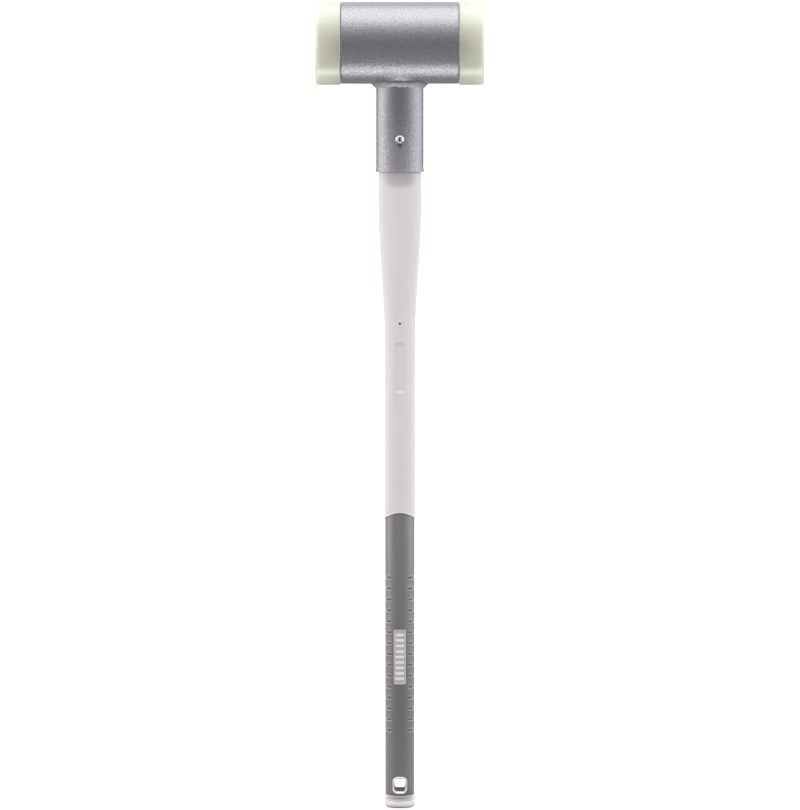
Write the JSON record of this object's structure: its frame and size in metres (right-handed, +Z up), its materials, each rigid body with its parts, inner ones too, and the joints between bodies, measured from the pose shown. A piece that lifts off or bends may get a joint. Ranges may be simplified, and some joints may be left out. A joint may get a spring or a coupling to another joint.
{
  "type": "dead blow sledgehammer",
  "caption": "Long two-handed dead blow sledgehammer: shot-filled silver steel tube head with pale nylon faces, welded handle socket, jacketed handle, notched grip and hanging eye.",
  "frame": {"origin": "centre of the flat underside of the end cap, below the handle's axis", "axes": "+Z up the handle to the head, +X along the head to the right striking face, -Y the front with the screw and the grip plate"},
  "size_m": [0.2006, 0.1, 0.9787],
  "materials": {
    "silver_paint": "silver hammertone powder coat",
    "ivory_nylon": "satin moulded nylon",
    "plain_steel": "bare machined steel",
    "zinc_plate": "bright zinc plate",
    "fibreglass": "pultruded glass fibre",
    "milky_plastic": "satin translucent plastic",
    "white_plastic": "satin white plastic",
    "grey_rubber": "matt soft plastic"
  },
  "bodies": {
    "hammer": {"head_tube": "silver_paint", "left_face": "ivory_nylon", "right_face": "ivory_nylon", "left_disc": "plain_steel", "right_disc": "plain_steel", "handle_socket": "silver_paint", "socket_weld": "silver_paint", "handle_screw": "zinc_plate", "fibreglass_rod": "fibreglass", "handle_jacket": "milky_plastic", "grip_sleeve": "grey_rubber", "grip_plate": "white_plastic", "end_cap": "white_plastic"},
    "shot_charge": {"shot_01": "plain_steel", "shot_02": "plain_steel", "shot_03": "plain_steel", "shot_04": "plain_steel", "shot_05": "plain_steel", "shot_06": "plain_steel", "shot_07": "plain_steel", "shot_08": "plain_steel", "shot_09": "plain_steel", "shot_10": "plain_steel", "shot_11": "plain_steel", "shot_12": "plain_steel", "shot_13": "plain_steel", "shot_14": "plain_steel", "shot_15": "plain_steel", "shot_16": "plain_steel", "shot_17": "plain_steel", "shot_18": "plain_steel", "shot_19": "plain_steel", "shot_20": "plain_steel", "shot_21": "plain_steel", "shot_22": "plain_steel", "shot_23": "plain_steel", "shot_24": "plain_steel", "shot_25": "plain_steel", "shot_26": "plain_steel", "shot_27": "plain_steel", "shot_28": "plain_steel", "shot_29": "plain_steel", "shot_30": "plain_steel", "shot_31": "plain_steel", "shot_32": "plain_steel"}
  },
  "joints": [
    {"name": "shot_slide", "type": "slide", "parent": "hammer", "child": "shot_charge", "axis": [1, 0, 0], "range_m": [-0.008, 0.008]}
  ]
}
